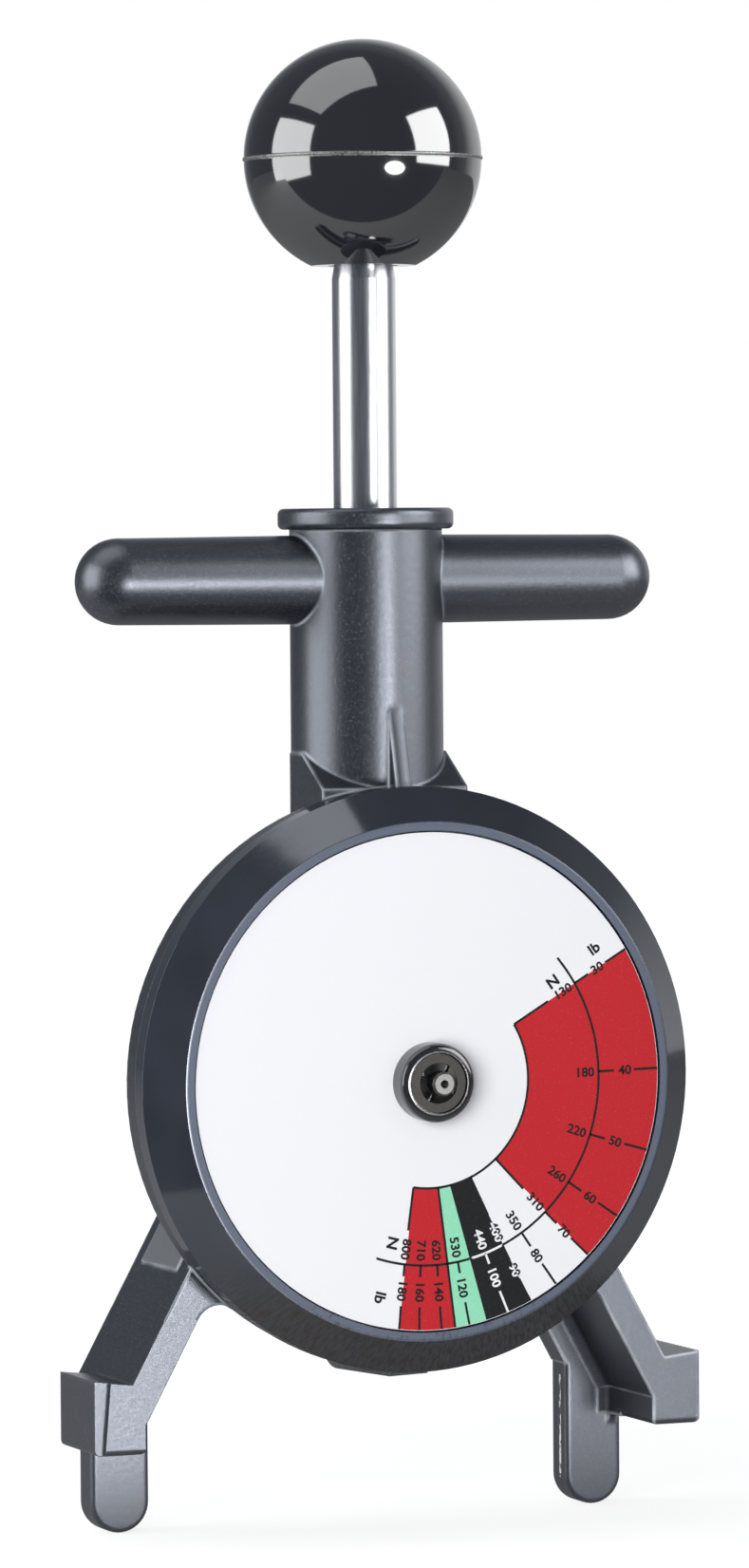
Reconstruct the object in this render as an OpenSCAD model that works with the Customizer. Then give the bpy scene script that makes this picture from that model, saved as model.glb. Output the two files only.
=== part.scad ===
// Belt tension tester. A sprung plunger pulls a hook up against a belt that
// lies under two feet, and a rack on the plunger turns the dial past a fixed
// index rib. Millimetres. Z runs up the plunger axis, the dial faces -Y and
// Z = 0 is the belt seat under the feet. Every piece is drawn at rest, with the
// plunger fully up. Depths of the dial stack are measured forward from the
// plunger axis, towards -Y.

/* [Handle] */
// Outside diameter of the handle tube
tube_d = 30.6; // [29.6:0.1:34]
// Wall of the tube and of the mechanism chamber below it
tube_wall = 3.1; // [2.6:0.1:3.3]
// Height of the cross handle's axis above the belt seat
arm_z = 171; // [166:0.1:190]
// Tube above the cross handle's axis
tube_over = 10; // [9.5:0.1:16]
// Cross handle from tip to tip
arm_span = 122.6; // [90:0.1:160]
// Cross handle diameter at the tube
arm_root_d = 18; // [14:0.1:18.8]
// Cross handle diameter where its round tip starts
arm_tip_d = 17.2; // [12:0.1:18]
// Width of the index rib above the dial
rib_w = 3.1; // [1.5:0.1:4]
// Height of the index rib
rib_h = 16; // [10:0.1:24]
// How far the rib's foot stands out from the tube
rib_proud = 4.3; // [2:0.1:5]

/* [Trunk] */
// Width of the trunk between handle and dial case
trunk_w = 31; // [30.8:0.1:36]
// Trunk face in front of the dial case's back
trunk_lip = 0.45; // [0.2:0.05:2]
// Rise of the sloped shoulder
shoulder_rise = 6.8; // [3:0.1:12]
// Run of the sloped shoulder, front to back
shoulder_run = 11.2; // [6:0.1:13]
// Square front of the trunk, measured behind the plunger axis
square_back = 3; // [2:0.1:4]
// Trunk's open end above the lowest point of the dial case
trunk_lift = 6.3; // [5.5:0.1:12]
// Thickness of the floor that carries the spring
floor_t = 5; // [3:0.1:8]

/* [Dial case] */
// Height of the dial axis above the belt seat
dial_z = 72.4; // [69:0.1:76]
// Diameter of the dial case
pan_d = 114.6; // [112:0.1:118]
// Back of the dial case in front of the plunger axis
pan_back = 14.4; // [14.2:0.1:16]
// Floor of the dial case
pan_floor = 3; // [2:0.1:4]
// Depth of the dial case
pan_depth = 5.8; // [5:0.1:8]
// Rim wall of the dial case
pan_wall = 4.7; // [4.4:0.1:6]
// Rounding of the dial case's back edge
pan_round = 0.6; // [0.3:0.1:0.8]

/* [Legs] */
// Outer side of each foot from the plunger axis
foot_out = 64.6; // [62:0.1:72]
// Width of each foot
foot_w = 10.2; // [9:0.1:12]
// Height of each foot at its outer side
foot_h = 14.7; // [12:0.1:18]
// Fall of a foot's top towards the leg
foot_fall = 1.2; // [0:0.1:2]
// Front of feet and legs in front of the plunger axis
foot_front = 16.3; // [15.4:0.1:18]
// Back of the feet behind the plunger axis
foot_back = 5; // [2:0.1:7]
// Height of the straight heel on the inner side of a foot
heel_h = 5.7; // [4:0.1:7]
// Rounding of a foot's lower edges
foot_round = 1.2; // [0.5:0.1:1.6]
// Step of the narrow strip on the left foot's outer front edge
strip_step = 1.3; // [0.4:0.1:2]
// Width of that strip at the foot's top
strip_w = 3; // [1.8:0.1:4]
// Width of that strip at the foot's bottom
strip_foot_w = 1.7; // [0.8:0.1:1.8]
// Slope of the legs from level
leg_angle = 61.3; // [59:0.1:63]
// Leg thickness seen from the front
leg_w = 6.2; // [5:0.1:7]
// Width of the rear flange beside a leg, measured level
flange_w = 6.4; // [4:0.1:7]
// Centre of each tongue from the plunger axis
tongue_x = 51.4; // [50.5:0.1:52.5]
// Width of a tongue
tongue_w = 12.2; // [10:0.1:13]
// Tongue tip below the belt seat
tongue_drop = 18.5; // [14:0.1:26]
// Tongue's belt face behind the plunger axis
tongue_front = 7.1; // [7.1:0.1:9]
// Thickness of tongues and rear flanges
tongue_t = 7.3; // [5:0.1:8]
// Rounding of a tongue's edges
tongue_round = 0.9; // [0.4:0.1:1.6]
// Fillet between legs, feet and rear flange
web_r = 2.5; // [1:0.1:3]
// Fillet between a leg and the dial case
case_fillet = 5; // [1.5:0.1:6]
// Height of the bare pad raised on the left leg
pad_t = 0.3; // [0.2:0.05:0.6]
// Length of that pad along the leg
pad_l = 18; // [10:0.1:24]
// Width of that pad, front to back
pad_w = 20; // [12:0.1:24]
// Lower end of that pad above the belt seat
pad_z = 35.2; // [30:0.1:40]

/* [Plunger] */
// Plunger rod diameter
rod_d = 12.7; // [12:0.1:13]
// Rod seen between cap and knob at rest
rod_exposed = 48.4; // [40:0.1:60]
// Full stroke of the plunger
stroke = 34; // [28:0.1:36]
// Diameter of the rod's tapered end under the knob
neck_d = 11.8; // [10.5:0.1:12]
// Length of that taper
neck_l = 2.6; // [1:0.1:4]
// Ball knob diameter
knob_d = 47.6; // [40:0.1:56]
// Flat under the knob
knob_flat_d = 21; // [18:0.1:26]
// Height of the moulding line round the knob
flash_h = 0.5; // [0.3:0.1:1]
// How far the moulding line stands out
flash_t = 0.2; // [0.1:0.05:0.4]
// Knob insert diameter
insert_d = 14; // [12:0.1:16]
// Knob insert length
insert_l = 18; // [14:0.1:22]
// Stud on the rod's upper end
stud_d = 9.5; // [8:0.1:10]
// Stud length
stud_l = 15; // [10:0.1:16.5]
// Spigot on the rod's lower end
spigot_d = 8; // [6:0.1:10]

/* [Cap and spring] */
// Cap flange diameter
cap_d = 35.2; // [32:0.1:40]
// Cap flange thickness
cap_t = 4.2; // [3:0.1:6]
// Rounding of the cap flange
cap_round = 1.2; // [0.4:0.1:1.4]
// Cap plug inside the tube
plug_l = 5; // [4:0.1:7]
// Soft stop under the cap
bumper_t = 1.5; // [1:0.1:3]
// Retaining ring thickness
ring_t = 1.2; // [0.8:0.1:1.6]
// Retaining ring diameter
ring_d = 17.5; // [16:0.1:20]
// Groove depth of the retaining ring
groove = 0.6; // [0.4:0.1:1]
// Spring seat thickness
seat_t = 2; // [1.5:0.1:3]
// Flange of the lower guide bush
bush_flange_t = 1.5; // [1:0.1:2.5]
// Wall of the lower guide bush
bush_wall = 1.8; // [1.2:0.1:2.5]
// Spring wire
wire_d = 1.9; // [1.2:0.1:2]
// Turns of the spring
coil_turns = 6.5; // [5:0.5:6.5]

/* [Hook] */
// Width of the hook strip
hook_w = 9.4; // [7:0.1:10]
// Thickness of the hook strip
hook_t = 2; // [1.8:0.1:2.4]
// Back of the hook strip inside the chamber's wall
hook_clear = 1.6; // [1.4:0.1:2]
// Hook toe in front of the plunger axis
toe_front = 12.4; // [10:0.1:18]
// Outer bend radius of the hook
hook_bend = 5; // [3:0.1:6]
// Gap between hook toe and dial case at rest
toe_gap = 0.7; // [0.4:0.1:2]
// Turn of the hook about the plunger, its toe to the reader's right
hook_turn = 14; // [0:0.5:16]
// Carrier block height
carrier_h = 20; // [18:0.1:24]
// Front of the carrier before the plunger axis
carrier_front = 8; // [7.8:0.1:8.2]
// Cross pin diameter
pin_d = 3; // [2:0.1:4]
// Thickness of the hook guide plate
guide_t = 2.6; // [2:0.1:3.4]

/* [Rack and pinion] */
// Tooth module
tooth_m = 0.8; // [0.78:0.01:0.82]
// Pinion teeth
pinion_teeth = 16; // [15:1:17]
// Pressure angle
pressure = 20; // [18:0.5:22]
// Pinion face width
gear_face = 4.4; // [3.5:0.1:4.6]
// Rack width, front to back
rack_w = 5; // [4:0.1:5.4]
// Rack beyond the meshing point at each end
rack_over = 7; // [6:0.1:8]
// Backlash at the pitch line
backlash = 0.12; // [0.08:0.01:0.2]

/* [Dial] */
// Dial diameter
dial_d = 98.1; // [94:0.1:99]
// Dial plate thickness
dial_t = 1.2; // [0.8:0.1:1.4]
// Printed face thickness
face_t = 0.2; // [0.1:0.05:0.4]
// Depth of the printed face
face_depth = 31.6; // [30:0.1:36]
// Shaft diameter
shaft_d = 4.8; // [4:0.1:5.2]
// Shaft end in front of the printed face
shaft_proud = 7.8; // [6.4:0.1:10]
// Chamfer of the shaft's end
shaft_chamfer = 0.4; // [0.2:0.1:0.8]
// Hub diameter
hub_d = 15.6; // [14:0.1:18]
// Hub height
hub_h = 5.2; // [4:0.1:6]
// Rounding of the hub's front edge
hub_round = 1.5; // [0.5:0.1:1.7]
// Retainer diameter
retainer_d = 11.8; // [10:0.1:12]
// Retainer thickness
retainer_t = 0.5; // [0.4:0.1:0.8]
// Length of the retainer's prongs
prong_l = 1.6; // [1.2:0.1:2]
// Slit between two prongs
prong_slit = 0.8; // [0.5:0.1:1.2]
// Depth of the hub's recess
recess = 1.1; // [0.9:0.1:1.6]
// Flange diameter of the dial boss
boss_flange_d = 28; // [20:0.1:36]
// Flange thickness of the dial boss
boss_flange_t = 2; // [1.2:0.1:3]
// Sleeve diameter of the dial boss
boss_d = 9; // [8:0.1:11]

/* [Bezel] */
// Bezel diameter
bezel_d = 115.8; // [115:0.1:119]
// Front land of the bezel before the printed face
land_proud = 0.4; // [0.3:0.05:1.4]
// Outer diameter of the front land
land_d = 102.4; // [101.8:0.1:105]
// Width of the bright edge round the front land
edge_w = 0.5; // [0.3:0.05:1]
// Fall of that edge
edge_fall = 0.06; // [0.02:0.01:0.2]
// Depth of the bezel's lip
lip_t = 1.9; // [1.8:0.1:2.4]
// Straight side of the bezel
bezel_side = 4.3; // [1.5:0.1:5]
// Width of the parting groove
part_groove = 1.2; // [0.6:0.1:2]
// Depth of the parting groove
part_depth = 0.9; // [0.5:0.1:1]

/* [Bearing] */
// Bearing plate diameter
plate_d = 42; // [38:0.1:50]
// Bearing plate thickness
plate_t = 2.5; // [2:0.1:3]
// Bore through the case floor for the pinion
pinion_port_d = 18; // [17:0.1:22]
// Shaft bush diameter
shaft_bush_d = 10; // [8:0.1:11]
// Shaft bush flange diameter
shaft_flange_d = 15; // [13:0.1:18]
// Shaft bush flange thickness
shaft_flange_t = 1.5; // [1:0.1:2]
// Shaft bush in front of its flange
bush_nose = 2; // [1:0.1:2.4]

/* [Screws] */
// Screw diameter
screw_d = 3; // [2.5:0.1:3.2]
// Screw head diameter
head_d = 5.2; // [4.6:0.1:5.6]
// Screw head height
head_h = 1.6; // [1.2:0.1:1.8]
// Small screw diameter, on rack and bezel
small_screw_d = 2; // [1.6:0.1:2.2]
// Small screw head diameter
small_head_d = 3.4; // [3:0.1:3.6]
// Small screw head height
small_head_h = 0.8; // [0.6:0.1:0.9]
// Grip of the bezel screws in the bezel
bezel_grip = 4; // [3:0.1:4.5]
// Room for a driver between a bezel screw and a leg
driver_gap = 3; // [2:0.1:6]
// Grip of the guide screws in their bosses
guide_grip = 7; // [5:0.1:8]
// Height of those bosses
guide_boss_h = 12; // [10:0.1:16]
// Wall of those bosses round the screw
guide_boss_wall = 1.7; // [1.2:0.1:2.2]
// Guide screw axis inside the chamber's wall
guide_inset = 1; // [0.5:0.1:1.2]

/* [Fits] */
// Radial clearance of sliding and turning fits
run_fit = 0.05; // [0.02:0.01:0.08]
// Radial clearance of seated pieces
seat_fit = 0.02; // [0.01:0.01:0.04]
// Clearance between dial and bezel
dial_gap = 0.35; // [0.3:0.01:0.6]
// Clearance of moving pieces in the chamber
chamber_gap = 0.6; // [0.5:0.05:0.7]
// Axial play of plunger and dial stops
stop_gap = 0.4; // [0.3:0.05:0.6]

/* [Hidden] */
$fn = 64;
eps = 0.2;
// How far shapes of one piece run into each other
sink = 1.5;
tube_r = tube_d / 2;
bore_r = tube_r - tube_wall;
pan_r = pan_d / 2;
rod_r = rod_d / 2;
trunk_front = pan_back + trunk_lip;
trunk_z = dial_z - pan_r + trunk_lift;
case_top_z = dial_z + pan_r;
tube_top_z = arm_z + tube_over;
cap_top_z = tube_top_z + cap_t;
flat_z = cap_top_z + rod_exposed;
knob_r = knob_d / 2;
knob_z = flat_z + sqrt(pow(knob_r, 2) - pow(knob_flat_d / 2, 2));

// Heights of the plunger's inner pieces, from the cap down and the rack up
plug_z = tube_top_z - plug_l;
ring_z = plug_z - bumper_t - stop_gap - ring_t;
seat_z = ring_z - seat_t;
carrier_top_z = dial_z + stroke + rack_over;
carrier_z = carrier_top_z - carrier_h;
floor_z = carrier_top_z + chamber_gap;
floor_top_z = floor_z + floor_t;
spring_z = floor_top_z + bush_flange_t;
bush_r = rod_r + run_fit + bush_wall;

// Hook, carrier and rack, laid out inside the chamber
hook_back = bore_r - hook_clear;
hook_front = hook_back - hook_t;
toe_z = dial_z - pan_r - toe_gap - hook_t;
chamber_r = bore_r - chamber_gap;
carrier_half = sqrt(pow(chamber_r, 2) - pow(hook_front, 2));
pitch_r = tooth_m * pinion_teeth / 2;
tooth_pitch = PI * tooth_m;
rack_tip = 0.8 * tooth_m;
tooth_root = 1.25 * tooth_m;
rack_root_x = pitch_r + tooth_root;
rack_z = dial_z - rack_over;
rack_screw_x = (rack_root_x + chamber_r) / 2;
screw_rows = [carrier_z + carrier_h / 4, carrier_z + carrier_h * 3 / 4];

// Depths of the dial stack
floor_depth = pan_back + pan_floor;
pan_front = pan_back + pan_depth;
plate_front = floor_depth + plate_t;
pinion_back = carrier_front + chamber_gap;
pinion_front = pinion_back + gear_face;
shaft_bush_back = pinion_front + stop_gap;
shaft_bush_front = plate_front + shaft_flange_t + bush_nose;
boss_back = shaft_bush_front + stop_gap;
dial_back = face_depth - face_t - dial_t;
hub_front = face_depth + hub_h;
shaft_front = face_depth + shaft_proud;
lip_r = dial_d / 2 + dial_gap;
bezel_front = face_depth + land_proud;
shaft_r = shaft_d / 2;
boss_r = boss_d / 2;

// Leg lines, in the front view
foot_in = foot_out - foot_w;
leg_run = leg_w / sin(leg_angle);
apex_z = heel_h + foot_in * tan(leg_angle);
tongue_in = tongue_x - tongue_w / 2;
tongue_out = tongue_x + tongue_w / 2;
flange_z = heel_h + (foot_in - flange_w - tongue_in) * tan(leg_angle);
leg_step_z = heel_h + (foot_in + leg_run - tongue_out) * tan(leg_angle);
leg_off = (foot_in + leg_run) * sin(leg_angle) + (heel_h - dial_z) * cos(leg_angle);

// Screw places
plate_screw_r = (pinion_port_d / 2 + plate_d / 2) / 2;
plate_screw_angles = [90, 210, 330];
bezel_screw_r = pan_r - pan_wall / 2;
beside_leg = 90 - leg_angle - acos(leg_off / bezel_screw_r)
    + 2 * asin((small_head_d / 2 + driver_gap) / (2 * bezel_screw_r));
bezel_screw_angles = [beside_leg, 30, 150, 180 - beside_leg];
bezel_screw_l = pan_depth + bezel_grip;
guide_screw_x = bore_r - guide_inset;
guide_boss_r = screw_d / 2 + guide_boss_wall;
guide_screw_l = guide_t + guide_grip;

// A front-view outline, extruded from one depth to another
module front_view(from, to) {
    translate([0, -from, 0]) rotate([90, 0, 0]) linear_extrude(to - from) children();
}

// A side-view outline (Y, Z), extruded across X
module side_view(width) {
    translate([-width / 2, 0, 0]) rotate([90, 0, 90]) linear_extrude(width) children();
}

// A revolve about the dial axis, profile in (radius, depth)
module dial_turned() {
    translate([0, 0, dial_z]) rotate([90, 0, 0]) rotate_extrude() children();
}

// A cylinder on the dial axis
module dial_disc(r, from, to) {
    translate([0, -from, dial_z]) rotate([90, 0, 0]) cylinder(r = r, h = to - from);
}

// A cylinder parallel to the dial axis, at an angle round it
module dial_pin(angle, at_r, r, from, to) {
    translate([at_r * cos(angle), -from, dial_z + at_r * sin(angle)])
        rotate([90, 0, 0]) cylinder(r = r, h = to - from);
}

// Both sides of the tool
module both_sides() {
    children();
    mirror([1, 0, 0]) children();
}

// What a rounding takes off a square corner, where the material lies towards s
module corner_waste(p, s, r) {
    difference() {
        translate([p[0] + (s[0] < 0 ? -r : -eps), p[1] + (s[1] < 0 ? -r : -eps)]) square(r + eps);
        translate(p + s * r) circle(r);
    }
}

// A concave fillet in a corner at the origin, on the -x and -y sides
module corner_fill(r) {
    difference() {
        translate([-r, -r]) square(r + eps);
        translate([-r, -r]) circle(r);
    }
}

// Slotted screw with its head's seat at the origin and its shank along +Z
module screw(d, shank_l, wide, high) {
    difference() {
        union() {
            cylinder(d = d, h = shank_l);
            translate([0, 0, -high]) cylinder(d = wide, h = high);
        }
        translate([-wide, -wide / 12, -high - eps]) cube([wide * 2, wide / 6, high / 2 + eps]);
    }
}

// Countersunk screw, its head flush at the origin, widened where it is a hole
module flush_screw(length, clear) {
    sink = (head_d - screw_d) / 2;
    cylinder(d = screw_d + 2 * clear, h = length);
    cylinder(d1 = head_d + 2 * clear, d2 = screw_d + 2 * clear, h = sink);
}

// Cross handle, turned about X, with round tips
module cross_handle() {
    tip_r = arm_tip_d / 2;
    tip_x = arm_span / 2 - tip_r;
    both_sides() translate([0, 0, arm_z]) rotate([0, 90, 0]) {
        cylinder(r1 = arm_root_d / 2, r2 = tip_r, h = tip_x);
        translate([0, 0, tip_x]) sphere(tip_r);
    }
}

// Plan of the trunk: round at the back, square at the front
module trunk_plan() {
    circle(tube_r);
    translate([-trunk_w / 2, -trunk_front]) square([trunk_w, trunk_front + square_back]);
}

// Plan of the mechanism chamber inside the trunk
module chamber_plan() {
    circle(bore_r);
    translate([-bore_r, -pan_back]) square([bore_r * 2, pan_back]);
}

// Trunk with the sloped shoulder that runs into the tube
module trunk() {
    translate([0, 0, trunk_z]) linear_extrude(case_top_z - trunk_z) trunk_plan();
    side_view(trunk_w) polygon([
        [-trunk_front, case_top_z - sink],
        [square_back, case_top_z - sink],
        [square_back, case_top_z + shoulder_rise],
        [shoulder_run - trunk_front, case_top_z + shoulder_rise],
        [-trunk_front, case_top_z]]);
}

// Rib with a round top on the tube, which the dial is read against
module index_rib() {
    root = tube_r - sink;
    intersection() {
        side_view(rib_w) polygon([
            [-root, case_top_z - sink],
            [-tube_r - rib_proud, case_top_z - sink],
            [-tube_r - rib_proud, case_top_z + stop_gap],
            [-tube_r, case_top_z + rib_h],
            [-root, case_top_z + rib_h]]);
        front_view(root - sink, tube_r + rib_proud + sink) {
            translate([-rib_w, case_top_z - 2 * sink]) square([rib_w * 2, rib_h + 2 * sink - rib_w / 2]);
            translate([0, case_top_z + rib_h - rib_w / 2]) circle(rib_w / 2);
        }
    }
}

// Dial case, a shallow pan with a rounded back edge
module dial_pan() {
    dial_turned() difference() {
        translate([0, pan_back]) square([pan_r, pan_depth]);
        corner_waste([pan_r, pan_back], [-1, 1], pan_round);
    }
}

// Half the section of a tongue, with rounded edges, from its middle outwards
module tongue_half() {
    difference() {
        translate([0, -tongue_t / 2]) square([tongue_w / 2, tongue_t]);
        for (side = [-1, 1])
            corner_waste([tongue_w / 2, side * tongue_t / 2], [-1, -side], tongue_round);
    }
}

// Tongue with a round tip
module tongue() {
    tip_z = tongue_w / 2 - tongue_drop;
    translate([tongue_x, tongue_front + tongue_t / 2, tip_z]) {
        linear_extrude(flange_z + sink - tip_z) both_sides() tongue_half();
        rotate([90, 0, 0]) rotate_extrude() tongue_half();
    }
}

// One leg from foot to trunk: bar, rear flange and tongue
module leg() {
    front_view(-tongue_front - tongue_t, foot_front) polygon([
        [foot_in, heel_h], [tongue_out, heel_h], [tongue_out, leg_step_z],
        [leg_run, apex_z], [0, apex_z]]);
    front_view(-tongue_front - tongue_t, -tongue_front)
        polygon([[tongue_in, flange_z], [tongue_out, flange_z], [tongue_out, leg_step_z],
                 [leg_run, apex_z], [-flange_w, apex_z]]);
    tongue();
}

// Foot block, the stepped strip on one foot's front and the fillets where the belt sits
module foot(stepped) {
    heel_w = tongue_out - tongue_round - foot_in;
    difference() {
        front_view(-foot_back, foot_front) polygon([
            [foot_in, 0], [foot_out, 0], [foot_out, foot_h], [foot_in, foot_h - foot_fall]]);
        if (stepped) front_view(foot_front - strip_step, foot_front + eps) polygon([
            [foot_out - strip_foot_w, -eps], [foot_out + eps, -eps],
            [foot_out + eps, foot_h + eps], [foot_out - strip_w, foot_h + eps]]);
        front_view(-foot_back - eps, foot_front + eps) corner_waste([foot_out, 0], [-1, 1], foot_round);
        front_view(web_r - tongue_front + foot_round, foot_front + eps)
            corner_waste([foot_in, 0], [1, 1], foot_round);
        translate([foot_out - foot_w / 2, 0, 0]) side_view(foot_w + 2 * eps)
            corner_waste([-foot_front, 0], [1, 1], foot_round);
    }
    translate([foot_in, 0, 0]) cube([heel_w, tongue_front + eps, heel_h + eps]);
    translate([foot_in, tongue_front, 0]) rotate([90, 0, 90])
        linear_extrude(heel_w) corner_fill(web_r);
    translate([foot_in, tongue_front, 0]) linear_extrude(heel_h) corner_fill(web_r);
    translate([foot_in, tongue_front, heel_h]) rotate([0, leg_angle - 90, 0])
        linear_extrude((foot_in - trunk_w / 2) / cos(leg_angle)) corner_fill(web_r);
}

// Fillet in the front view between a leg's inner line and the dial case
module case_web() {
    along = [-cos(leg_angle), sin(leg_angle)];
    into = [sin(leg_angle), cos(leg_angle)];
    start = [foot_in, heel_h] - into * case_fillet;
    off = start - [0, dial_z];
    dot = off * along;
    reach = -dot - sqrt(dot * dot - off * off + pow(pan_r + case_fillet, 2));
    centre = start + along * reach;
    in_leg = centre + into * (case_fillet + 1);
    to_axis = ([0, dial_z] - centre) / (pan_r + case_fillet);
    front_view(pan_back, foot_front) difference() {
        polygon([centre, in_leg, in_leg + along * case_fillet * 3, centre + to_axis * (case_fillet + 1)]);
        translate(centre) circle(case_fillet);
    }
}

// Bare raised pad on the outer side of the left leg
module leg_pad() {
    pad_x = foot_in + leg_run - (pad_z - heel_h) / tan(leg_angle);
    mirror([1, 0, 0]) translate([pad_x, -pad_w / 2, pad_z]) rotate([0, leg_angle - 90, 0])
        translate([-sink, 0, 0]) cube([sink + pad_t, pad_w, pad_l]);
}

module body_frame() color("#2c2f36") difference() {
    union() {
        translate([0, 0, floor_z]) cylinder(r = tube_r, h = tube_top_z - floor_z);
        cross_handle();
        trunk();
        index_rib();
        dial_pan();
        both_sides() {
            leg();
            case_web();
        }
        foot(false);
        mirror([1, 0, 0]) foot(true);
        leg_pad();
    }
    translate([0, 0, floor_top_z]) cylinder(r = bore_r, h = tube_top_z);
    translate([0, 0, floor_z - eps]) cylinder(r = bush_r + seat_fit, h = floor_t + 2 * eps);
    difference() {
        translate([0, 0, trunk_z - eps]) linear_extrude(floor_z - trunk_z + eps) chamber_plan();
        both_sides() translate([guide_screw_x, 0, trunk_z - 2 * eps])
            cylinder(r = guide_boss_r, h = guide_boss_h);
    }
    both_sides() translate([guide_screw_x, 0, trunk_z - eps])
        cylinder(r = screw_d / 2 + seat_fit, h = guide_grip + sink);
    dial_disc(pan_r - pan_wall, floor_depth, pan_front + eps);
    dial_disc(pinion_port_d / 2, pan_back - eps, floor_depth + eps);
    for (a = plate_screw_angles)
        dial_pin(a, plate_screw_r, screw_d / 2 + seat_fit, pan_back + eps, floor_depth + eps);
    for (a = bezel_screw_angles)
        dial_pin(a, bezel_screw_r, small_screw_d / 2 + seat_fit, pan_back - eps, pan_front + eps);
}

module tube_cap() color("#25272d") {
    flange_r = cap_d / 2;
    translate([0, 0, plug_z]) rotate_extrude() difference() {
        union() {
            square([bore_r - seat_fit, plug_l]);
            translate([0, plug_l]) square([flange_r, cap_t]);
        }
        translate([0, -eps]) square([rod_r + run_fit, plug_l + cap_t + 2 * eps]);
        corner_waste([flange_r, plug_l + cap_t], [-1, -1], cap_round);
        corner_waste([flange_r, plug_l], [-1, 1], cap_round);
    }
}

module cap_bumper() color("#3a3a38") translate([0, 0, plug_z - bumper_t]) difference() {
    cylinder(r = bore_r - chamber_gap, h = bumper_t);
    translate([0, 0, -eps]) cylinder(r = rod_r + chamber_gap, h = bumper_t + 2 * eps);
}

module guide_bush() color("#b08d57") difference() {
    union() {
        translate([0, 0, floor_z]) cylinder(r = bush_r, h = floor_t + eps);
        translate([0, 0, floor_top_z]) cylinder(r = bore_r - chamber_gap, h = bush_flange_t);
    }
    translate([0, 0, floor_z - eps]) cylinder(r = rod_r + run_fit, h = floor_t + bush_flange_t + 2 * eps);
}

// Compression spring: one round wire swept along a helix
module load_spring() color("#8f949b") {
    sides = 10;
    steps = 26;
    wire_r = wire_d / 2;
    coil_r = (rod_r + bore_r) / 2;
    rings = floor(coil_turns * steps);
    rise = (seat_z - spring_z - wire_d) / rings;
    points = [for (i = [0 : rings]) for (k = [0 : sides - 1])
        let (turn = 360 * i / steps, spin = 360 * k / sides, r = coil_r + wire_r * cos(spin))
        [r * cos(turn), r * sin(turn), spring_z + wire_r + rise * i + wire_r * sin(spin)]];
    walls = [for (i = [0 : rings - 1]) for (k = [0 : sides - 1])
        let (n = (k + 1) % sides)
        [i * sides + k, (i + 1) * sides + k, (i + 1) * sides + n, i * sides + n]];
    start = [[for (k = [0 : sides - 1]) k]];
    end = [[for (k = [sides - 1 : -1 : 0]) rings * sides + k]];
    polyhedron(points, concat(walls, start, end));
}

// Plate across the trunk's open end, slotted for the hook strip
module hook_guide() color("#9aa0a6") difference() {
    translate([0, 0, trunk_z - guide_t]) linear_extrude(guide_t) difference() {
        intersection() {
            trunk_plan();
            translate([-trunk_w, chamber_gap - pan_back]) square([trunk_w * 2, pan_back + tube_d]);
        }
        rotate(hook_turn) translate([-hook_w / 2 - chamber_gap / 2, hook_front - chamber_gap / 2])
            square([hook_w + chamber_gap, tube_d]);
    }
    both_sides() translate([guide_screw_x, 0, trunk_z - guide_t - eps])
        cylinder(r = screw_d / 2 + seat_fit, h = guide_t + 2 * eps);
}

module guide_screws() color("#7d8288") both_sides()
    translate([guide_screw_x, 0, trunk_z - guide_t]) screw(screw_d, guide_screw_l, head_d, head_h);

module bearing_plate() color("#a4a9ae") difference() {
    dial_disc(plate_d / 2, floor_depth, plate_front);
    dial_disc(shaft_bush_d / 2 + seat_fit, floor_depth - eps, plate_front + eps);
    for (a = plate_screw_angles)
        dial_pin(a, plate_screw_r, screw_d / 2 + seat_fit, floor_depth - eps, plate_front + eps);
}

module plate_screws() color("#7d8288") for (a = plate_screw_angles)
    translate([plate_screw_r * cos(a), -plate_front, dial_z + plate_screw_r * sin(a)])
        rotate([-90, 0, 0]) screw(screw_d, plate_t + pan_floor - stop_gap, head_d, head_h);

module shaft_bush() color("#b08d57") difference() {
    union() {
        dial_disc(shaft_bush_d / 2, shaft_bush_back, shaft_bush_front);
        dial_disc(shaft_flange_d / 2, plate_front, plate_front + shaft_flange_t);
    }
    dial_disc(shaft_r + run_fit, shaft_bush_back - eps, shaft_bush_front + eps);
}

// Conical ring that closes the case round the dial
module bezel() color("#33373f") difference() {
    bezel_r = bezel_d / 2;
    rim_r = pan_r - pan_wall;
    side_depth = pan_front + part_groove;
    dial_turned() polygon([
        [rim_r, pan_front], [bezel_r - part_depth, pan_front],
        [bezel_r - part_depth, side_depth], [bezel_r, side_depth],
        [bezel_r, side_depth + bezel_side], [land_d / 2, bezel_front - edge_fall],
        [land_d / 2 - edge_w, bezel_front], [lip_r, bezel_front], [lip_r, bezel_front - lip_t],
        [rim_r, side_depth + bezel_side]]);
    for (a = bezel_screw_angles)
        dial_pin(a, bezel_screw_r, small_screw_d / 2 + seat_fit, pan_front - eps, pan_back + bezel_screw_l + stop_gap);
}

module bezel_screws() color("#7d8288") for (a = bezel_screw_angles)
    translate([bezel_screw_r * cos(a), -pan_back, dial_z + bezel_screw_r * sin(a)])
        rotate([90, 0, 0]) screw(small_screw_d, bezel_screw_l, small_head_d, small_head_h);

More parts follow.
